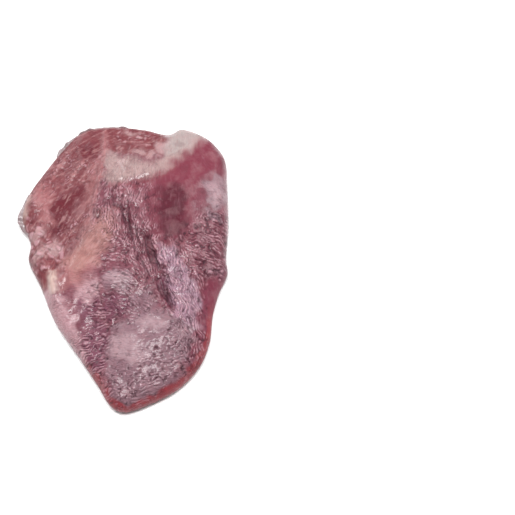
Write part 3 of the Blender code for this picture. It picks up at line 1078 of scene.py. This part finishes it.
    def build(self) -> Thing:
        """Makes the mesh with its relief and its tissue masks.

        Returns:
            The new object, linked to the scene.
        """
        points, flat, seen = self.bare_surface()
        mesh = bpy.data.meshes.new("spleen_skin")
        mesh.from_pydata((points * MM).tolist(), [], self.faces())
        normals = np.empty(len(points) * 3)
        mesh.vertices.foreach_get("normal", normals)
        settings = self.wrinkles.mixed(flat)
        heights, low, crest = self.relief(flat, settings)
        inset, _ = self.form.margin.inset(points[:, :2])
        inset[self.grid().size:] = 0.0
        inner = smooth_step(inset, 0.0, self.margin_fade)
        rested = self.margin_relief + (1 - self.margin_relief) * inner
        rested = rested * smooth_step(points[:, 2], 0.0, self.form.widest_line_height)
        points = points + normals.reshape(-1, 3) * (heights * rested)[:, None]
        points[:, 2] = np.maximum(points[:, 2], 0.0)
        mesh.vertices.foreach_set("co", (points * MM).ravel())
        mesh.update()
        mesh.shade_smooth()
        masks = self.tissues.masks(seen, crest)
        # The crease share carries the painted crease shade; the bare tissue gets less of it.
        low = low * (1 - self.bare_crease_shade_cut * masks[Tissue.BARE])
        # The masks go on the mesh, with the crease share for the painted shade and the crest share for the
        # painted highlight.
        for tissue, mask in {**masks, Tissue.PAINTED_CREASE_SHADE: low, Tissue.PALE_CREST_AND_SHEEN: crest}.items():
            layer = mesh.attributes.new(tissue.value, "FLOAT", "POINT")
            layer.data.foreach_set("value", mask.astype(np.float32))
        turn = 2 * settings["heading"]
        flow = np.column_stack([np.cos(turn), np.sin(turn), settings["fine"]])
        layer = mesh.attributes.new(FLOW, "FLOAT_VECTOR", "POINT")
        layer.data.foreach_set("vector", flow.astype(np.float32).ravel())
        return placed("spleen_skin", mesh)


@dataclass(frozen=True)
class WetCapsule:
    """The spleen's capsule: a thin serous and collagen skin over dark red pulp, wet with serum.

    The pulp's blood shows through as mauve red, and the serum film gives it a soft wet sheen.

    Each row of layers is a tissue, its tint and the most that it covers, from the lowest up. A
    row of streaked adds the line heights between which a streak rises, and a row of clouds the
    mottle values. A row of drier is a tissue and the share of the serum that it has lost.
    """

    pulp: str = "#64303c"
    pulp_mottle: str = "#743f4b"
    # Painted shade: this crease tint darkens the creases and the hair lines.
    crease: str = "#32131e"
    crease_shade_amount: float = 0.85
    # Share of the crease tint painted as shade in the middle of each hair line.
    hair_line_shade_share: float = 0.45
    # Fold tops: partly the paler collagen of the ridges, partly a painted highlight.
    crest: str = "#b88d97"
    crest_pallor_and_sheen_amount: float = 0.5
    layers: tuple = (
        (Tissue.MAUVE, "#6c2c3a", 0.95),
        (Tissue.CORE, "#470a1d", 0.95),
        (Tissue.RED_UNDER, "#743a43", 0.7),
        (Tissue.PURPLE, "#683749", 0.85),
        # Pink margin tint: pink flesh, with the pale pads partly painted sheen.
        (Tissue.PINK_MARGIN_AND_SHEEN, "#ad898f", 0.85),
        (Tissue.LILAC, "#917080", 0.8),
        # Pale veil tint: partly whitish capsule, partly painted sheen.
        (Tissue.PALE_VEIL_AND_SHEEN, "#785a63", 0.9),
        # Smooth pale pad tint: partly paler capsule, partly painted sheen.
        (Tissue.SMOOTH_PALE_AND_SHEEN, "#997d83", 0.85),
        (Tissue.BARE, "#6e3338", 0.95),
        (Tissue.BARE_DARK, "#57121f", 0.95),
        (Tissue.SALMON, "#955f61", 0.85),
        (Tissue.PEACH, "#9b7069", 0.72),
        (Tissue.RIGHT_MARGIN, "#6a2a3b", 0.95),
        (Tissue.BLOOD_MARGIN, "#842b33", 0.97),
        (Tissue.FIBROUS, "#9b8280", 0.95),
        (Tissue.CAP, "#978a88", 0.9),
        (Tissue.FAT, "#a48485", 0.75),
        (Tissue.FILM, "#bda59c", 0.88),
    )
    streaked: tuple = (
        (Tissue.BARE, "#9c7271", 0.55, 0.04, 0.22),
        (Tissue.BARE, "#50191f", 0.4, -0.04, -0.2),
        (Tissue.FIBROUS, "#aa9693", 0.7, 0.1, 0.35),
        (Tissue.FIBROUS, "#7c5f5f", 0.35, -0.06, -0.25),
        (Tissue.PEACH, "#ad8280", 0.5, 0.04, 0.25),
        (Tissue.PEACH, "#85504f", 0.45, -0.05, -0.25),
        (Tissue.MAUVE, "#84505e", 0.25, 0.04, 0.25),
    )
    clouds: tuple = (
        ("#997276", 0.22, 0.5, 0.66),
        ("#5a2732", 0.25, 0.48, 0.34),
    )
    ior: float = 1.37
    roughness: float = 0.5
    specular_level: float = 0.32
    serum_weight: float = 0.9
    serum_ior: float = 1.34
    drier: tuple = (
        (Tissue.MAUVE, 0.75), (Tissue.CORE, 0.7), (Tissue.BARE, 0.45), (Tissue.BARE_DARK, 0.7),
        (Tissue.PEACH, 0.9), (Tissue.BLOOD_MARGIN, 0.7), (Tissue.RIGHT_MARGIN, 0.6),
        (Tissue.SMOOTH_PALE_AND_SHEEN, 0.5), (Tissue.PINK_MARGIN_AND_SHEEN, 0.5), (Tissue.PALE_VEIL_AND_SHEEN, 0.3),
    )
    serum_roughness: float = 0.18
    fibrous_dulling: float = 0.15
    subsurface_weight: float = 0.12
    subsurface_radius: tuple[float, float, float] = (1.0, 0.45, 0.4)
    subsurface_mm: float = 0.4
    mottle_mm: float = 6.0
    mottle_detail: float = 4.0
    mottle_roughness: float = 0.6
    mottle_start: float = 0.35
    mottle_end: float = 0.65
    line_width_mm: float = 1.2
    line_length_mm: float = 5.0
    line_headings: int = 6
    line_detail: float = 1.5
    heading_focus: float = 3.0
    line_depth_mm: float = 0.2
    line_reach: float = 0.04
    fold_reach: float = 0.16

    def material(self) -> bpy.types.Material:
        """Builds the finish.

        Returns:
            The material, which reads the skin's tissue masks.
        """
        material, shader = new_finish("wet_serous_capsule")
        tree = material.node_tree
        place = add_node(tree, "TexCoord", {}, {}, "Object")
        lines, closed, sunk = self.hair_lines(tree, place)
        mottle = add_node(tree, "TexNoise",
                          {"Scale": 1 / (self.mottle_mm * MM), "Detail": self.mottle_detail,
                           "Roughness": self.mottle_roughness},
                          {"Vector": place}, "Fac")
        dull = add_node(tree, "Math",
                        {"operation": "MULTIPLY_ADD", 1: self.fibrous_dulling, 2: self.roughness},
                        {0: self.share_of(tree, Tissue.FIBROUS)})
        bump = add_node(tree, "Bump",
                        {"invert": True, "Strength": 1.0, "Distance": self.line_depth_mm * MM},
                        {"Height": sunk})
        wire(shader,
             {"IOR": self.ior, "Specular IOR Level": self.specular_level,
              "Coat IOR": self.serum_ior, "Coat Roughness": self.serum_roughness,
              "Subsurface Weight": self.subsurface_weight,
              "Subsurface Radius": self.subsurface_radius,
              "Subsurface Scale": self.subsurface_mm * MM},
             {"Base Color": self.colour(tree, mottle, lines, closed), "Roughness": dull,
              "Coat Weight": self.serum(tree), "Normal": bump})
        return material

    def colour(self, tree: Tree, mottle: Socket, lines: Socket, closed: Socket) -> Socket:
        """The capsule's colour, laid on from the pulp up to the painted highlight on the fold tops and the
        painted shade in the creases.

        Args:
            tree: the material's node tree.
            mottle: the cloudy noise.
            lines: the hair lines' own heights.
            closed: how near the middle of a hair line each point is, where painted shade goes.

        Returns:
            The colour.
        """
        contrast = add_node(tree, "MapRange", {1: self.mottle_start, 2: self.mottle_end}, {0: mottle})
        colour = add_node(tree, "Mix",
                          {"data_type": "RGBA", 6: hex_to_linear(self.pulp),
                           7: hex_to_linear(self.pulp_mottle)},
                          {0: contrast}, 2)
        for tissue, tint, amount in self.layers:
            colour = self.laid_over(tree, colour, self.share_of(tree, tissue), tint, amount)
        for tissue, tint, amount, start, end in self.streaked:
            streaks = add_node(tree, "MapRange", {1: start, 2: end}, {0: lines})
            share = add_node(tree, "Math", {"operation": "MULTIPLY"},
                             {0: self.share_of(tree, tissue), 1: streaks})
            colour = self.laid_over(tree, colour, share, tint, amount)
        for tint, amount, start, end in self.clouds:
            cloud = add_node(tree, "MapRange", {1: start, 2: end}, {0: mottle})
            colour = self.laid_over(tree, colour, cloud, tint, amount)
        # Painted highlight on the fold tops, then painted shade in the hair lines and in the creases.
        for share, tint, amount in (
                (self.share_of(tree, Tissue.PALE_CREST_AND_SHEEN), self.crest, self.crest_pallor_and_sheen_amount),
                (closed, self.crease, self.hair_line_shade_share * self.crease_shade_amount),
                (self.share_of(tree, Tissue.PAINTED_CREASE_SHADE), self.crease, self.crease_shade_amount)):
            colour = self.laid_over(tree, colour, share, tint, amount)
        return colour

    def serum(self, tree: Tree) -> Socket:
        """How thick the serum film is: whole on the smooth skin, less in creases and dry tissue."""
        film = add_node(tree, "MapRange", {1: 0.0, 2: 1.0, 3: self.serum_weight, 4: 0.0},
                        {0: self.share_of(tree, Tissue.PAINTED_CREASE_SHADE)})
        for tissue, dried in self.drier:
            wet = add_node(tree, "Math", {"operation": "MULTIPLY_ADD", 1: -dried, 2: 1.0},
                           {0: self.share_of(tree, tissue)})
            film = add_node(tree, "Math", {"operation": "MULTIPLY"}, {0: film, 1: wet})
        return film

    def share_of(self, tree: Tree, tissue: Tissue) -> Socket:
        """The skin's own share of one tissue."""
        return add_node(tree, "Attribute", {"attribute_name": tissue.value}, {}, "Fac")

    def laid_over(self, tree: Tree, below: Socket, share: Socket, tint: str, amount: float) -> Socket:
        """Lays one tint over a colour.

        Args:
            tree: the material's node tree.
            below: the colour so far.
            share: how much of the tint shows, from 0 to 1.
            tint: the tint's hex colour.
            amount: the most that the tint covers.

        Returns:
            The new colour.
        """
        part = add_node(tree, "Math", {"operation": "MULTIPLY", 1: amount}, {0: share})
        return add_node(tree, "Mix", {"data_type": "RGBA", 7: hex_to_linear(tint)},
                        {0: part, 6: below}, 2)

    def hair_lines(self, tree: Tree, place: Socket) -> tuple[Socket, ...]:
        """Hair-thin lines in the capsule, finer than its mesh, that follow the wrinkles' headings.

        Args:
            tree: the material's node tree.
            place: each point's place on the organ.

        Returns:
            The lines' own heights about zero, a share that rises to 1 in the middle of a line, where
            painted shade goes, and a wider one that gives the small folds between lines their round shape.
        """
        flow = add_node(tree, "Attribute", {"attribute_name": FLOW}, {}, "Vector")
        total = None
        for step in range(self.line_headings):
            heading = step * math.pi / self.line_headings
            across = self.line_width_mm * MM
            turned = add_node(tree, "Mapping",
                              {"vector_type": "TEXTURE", "Rotation": (0.0, 0.0, heading),
                               "Scale": (self.line_length_mm * MM, across, across)},
                              {"Vector": place})
            noise = add_node(tree, "TexNoise", {"Scale": 1.0, "Detail": self.line_detail},
                             {"Vector": turned}, "Fac")
            centred = add_node(tree, "Math", {"operation": "SUBTRACT", 1: 0.5}, {0: noise})
            doubled = (math.cos(2 * heading), math.sin(2 * heading), 0.0)
            agreeing = add_node(tree, "VectorMath", {"operation": "DOT_PRODUCT", 1: doubled},
                                {0: flow}, "Value")
            forward = add_node(tree, "Math", {"operation": "MAXIMUM", 1: 0.0}, {0: agreeing})
            weight = add_node(tree, "Math", {"operation": "POWER", 1: self.heading_focus}, {0: forward})
            if total is None:
                total = add_node(tree, "Math", {"operation": "MULTIPLY"}, {0: centred, 1: weight})
            else:
                total = add_node(tree, "Math", {"operation": "MULTIPLY_ADD"},
                                 {0: centred, 1: weight, 2: total})
        away = add_node(tree, "Math", {"operation": "ABSOLUTE"}, {0: total})
        strength = add_node(tree, "SeparateXYZ", {}, {0: flow}, 2)
        shapes = []
        for reach in (self.line_reach, self.fold_reach):
            near = add_node(tree, "MapRange", {1: 0.0, 2: reach, 3: 1.0, 4: 0.0}, {0: away})
            shapes.append(add_node(tree, "Math", {"operation": "MULTIPLY"}, {0: near, 1: strength}))
        return total, *shapes


@dataclass(frozen=True)
class Frill:
    """A scrap of torn serous membrane that stands out from the margin."""

    name: str
    start: tuple[float, float]
    end: tuple[float, float]
    reach: float
    root_height: float
    lift: float
    seed: int
    root_inset: float = 1.2
    thickness: float = 0.16
    crinkle: float = 0.4
    crinkle_mm: float = 7.0
    crinkle_band: float = 0.5
    raggedness: float = 0.12
    torn_band: float = 0.6
    least_torn: float = 0.3
    most_torn: float = 1.6
    skew: float = 1.7
    steps_along: int = 110
    steps_out: int = 10

    def sheet(self, margin: Margin, noise: TissueNoise) -> Array:
        """Lays out the membrane's middle.

        Args:
            margin: the organ's outline.
            noise: what crinkles the membrane and tears its free edge.

        Returns:
            Points in rows, each row from the root to the free edge.
        """
        first = margin.share_near(self.start)
        run = (margin.share_near(self.end) - first) % 1.0
        ways = np.linspace(0, 1, self.steps_along)
        root = margin.at(first + run * ways)
        outward = margin.outward_at(first + run * ways)
        torn = noise.heights_at(root, self.seed, self.crinkle_mm, self.torn_band)
        torn = np.clip(1 + self.raggedness * torn, self.least_torn, self.most_torn)
        reach = self.reach * np.sin(math.pi * ways**self.skew) * torn
        share = np.linspace(0, 1, self.steps_out)[None, :, None]
        out = share * (reach + self.root_inset)[:, None, None] - self.root_inset
        plan = root[:, None] + outward[:, None] * out
        spread = plan.reshape(-1, 2)
        waves = noise.heights_at(spread, self.seed + 1, self.crinkle_mm, self.crinkle_band)
        waves = waves.reshape(self.steps_along, self.steps_out) * self.crinkle
        height = self.root_height + (self.lift + waves) * share[:, :, 0]
        return np.concatenate([plan, height[:, :, None]], axis=2)

    def build(self, margin: Margin, noise: TissueNoise) -> Thing:
        """Makes the membrane as a thin closed shell.

        Args:
            margin: the organ's outline.
            noise: what crinkles the membrane and tears its free edge.

        Returns:
            The new object, linked to the scene.
        """
        middle = self.sheet(margin, noise)
        lift = np.array((0.0, 0.0, self.thickness / 2))
        points = np.concatenate([(middle + lift).reshape(-1, 3), (middle - lift).reshape(-1, 3)])
        grid = np.arange(self.steps_along * self.steps_out).reshape(self.steps_along, self.steps_out)
        upper = grid_quads(grid)
        rim = grid_rim(grid)
        after = np.roll(rim, -1)
        edge = np.stack([rim, rim + grid.size, after + grid.size, after], axis=-1)
        faces = np.concatenate([upper[:, ::-1], upper + grid.size, edge[:, ::-1]])
        mesh = bpy.data.meshes.new(self.name)
        mesh.from_pydata((points * MM).tolist(), [], faces.tolist())
        mesh.shade_smooth()
        return placed(self.name, mesh)


@dataclass(frozen=True)
class SerousMembrane:
    """Thin serous membrane torn off the fat: milky, half clear and wet."""

    tint: str = "#867476"
    roughness: float = 0.35
    clearness: float = 0.12
    ior: float = 1.38
    serum_weight: float = 0.6
    serum_roughness: float = 0.2
    cloud_mm: float = 2.5
    cloud_detail: float = 3.0
    cloud_start: float = 0.3
    cloud_end: float = 0.7

    def material(self) -> bpy.types.Material:
        """Builds the finish; its clouds of collagen leave some places milkier than others."""
        material, shader = new_finish("wet_serous_membrane")
        tree = material.node_tree
        place = add_node(tree, "TexCoord", {}, {}, "Object")
        clouds = add_node(tree, "TexNoise",
                          {"Scale": 1 / (self.cloud_mm * MM), "Detail": self.cloud_detail},
                          {"Vector": place}, "Fac")
        clear = add_node(tree, "MapRange",
                         {1: self.cloud_start, 2: self.cloud_end, 3: self.clearness, 4: 0.0},
                         {0: clouds})
        wire(shader,
             {"Base Color": hex_to_linear(self.tint), "Roughness": self.roughness, "IOR": self.ior,
              "Coat Weight": self.serum_weight, "Coat Roughness": self.serum_roughness},
             {"Transmission Weight": clear})
        return material


FRILLS = (
    Frill("hilar_frill", (-40.0, 31.0), (-42.5, 11.0), 1.8, 5.0, -0.4, 61),
    Frill("hilar_flap", (-18.5, 54.5), (-27.5, 46.5), 0.7, 5.0, 0.2, 63),
    Frill("dorsal_lip", (2.0, 60.5), (-19.0, 54.5), 0.1, 4.5, 0.2, 65, skew=1.0),
)


@dataclass(frozen=True)
class Softbox:
    """One studio light: a square diffuser hung over the table."""

    name: str
    at: tuple[float, float, float]
    towards: tuple[float, float, float]
    size: tuple[float, float]
    watts: float

    def build(self) -> None:
        """Hangs the light."""
        lamp = bpy.data.lights.new(self.name, "AREA")
        lamp.shape = "RECTANGLE"
        lamp.size, lamp.size_y = [side * MM for side in self.size]
        lamp.energy = self.watts
        look = (Vector(self.towards) - Vector(self.at)).normalized()
        hung(self.name, lamp, Vector(self.at), look)


@dataclass(frozen=True)
class Studio:
    """A white table under soft lights.

    Its board is smooth white laminate, whose dull shine throws soft light up at the margin.
    """

    floor_half: float = 1500.0
    floor_tint: str = "#f4f4f4"
    floor_roughness: float = 0.6
    sky: float = 0.32
    lights: tuple = (
        Softbox("overhead_softbox", (0.0, -40.0, 700.0), (0.0, 0.0, 0.0), (340.0, 230.0), 5.1),
        Softbox("right_softbox", (400.0, 260.0, 500.0), (20.0, 0.0, 0.0), (420.0, 420.0), 2.8),
        Softbox("left_softbox", (-400.0, 420.0, 340.0), (-20.0, 0.0, 0.0), (360.0, 360.0), 1.9),
    )

    def build(self) -> None:
        """Makes the floor, the lights and the pale surroundings."""
        half = self.floor_half * MM
        mesh = bpy.data.meshes.new("studio_floor")
        corners = [(-half, -half, 0), (half, -half, 0), (half, half, 0), (-half, half, 0)]
        mesh.from_pydata(corners, [], [(0, 1, 2, 3)])
        floor = placed("studio_floor", mesh)
        material, shader = new_finish("white_laminate")
        wire(shader, {"Base Color": hex_to_linear(self.floor_tint), "Roughness": self.floor_roughness}, {})
        mesh.materials.append(material)
        world = bpy.data.worlds.new("studio_surroundings")
        world.use_nodes = True
        sky = world.node_tree.nodes["Background"]
        wire(sky, {"Color": (1.0, 1.0, 1.0, 1.0), "Strength": self.sky}, {})
        bpy.context.scene.world = world
        for light in self.lights:
            light.build()


@dataclass(frozen=True)
class PhotoCamera:
    """The camera at the photograph's viewing angle."""

    elevation: float = 68.0
    lens: float = 110.0
    sensor: float = 36.0
    target: tuple[float, float, float] = (54.4, 4.8, 0.0)
    mm_per_pixel: float = 0.41
    frame_pixels: int = 515
    clip_start: float = 0.01

    def build(self) -> None:
        """Makes the camera and gives it to the scene."""
        distance = self.frame_pixels * self.mm_per_pixel * self.lens / self.sensor
        tilt = math.radians(self.elevation)
        back = Vector((0.0, -math.cos(tilt), math.sin(tilt)))
        camera = bpy.data.cameras.new("photo_camera")
        camera.lens = self.lens
        camera.sensor_width = self.sensor
        camera.clip_start = self.clip_start
        at = Vector(self.target) + back * distance
        bpy.context.scene.camera = hung("photo_camera", camera, at, -back)
        bpy.context.scene.view_settings.view_transform = "Standard"


def report(piece: Thing) -> None:
    """Says in the log what a piece is made of."""
    log.info("%s: %d faces", piece.name, len(piece.data.polygons))


def main() -> None:
    """Builds the organ's pieces, then the studio and the camera."""
    logging.basicConfig(level=logging.INFO, format="%(message)s")
    lowest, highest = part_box(ORGAN_NODE)
    margin = Margin((highest[0] - lowest[0]) / MM, (highest[1] - lowest[1]) / MM)
    noise = TissueNoise()
    skin = Skin(OrganForm(margin), noise, Wrinkles(noise), Tissues(noise, margin)).build()
    skin.data.materials.append(WetCapsule().material())
    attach(skin, BODY)
    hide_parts(ORGAN_NODE)
    report(skin)
    membrane = SerousMembrane().material()
    for frill in FRILLS:
        piece = frill.build(margin, noise)
        piece.data.materials.append(membrane)
        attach(piece, BODY)
        report(piece)
    Studio().build()
    PhotoCamera().build()


if __name__ == "__main__":
    main()
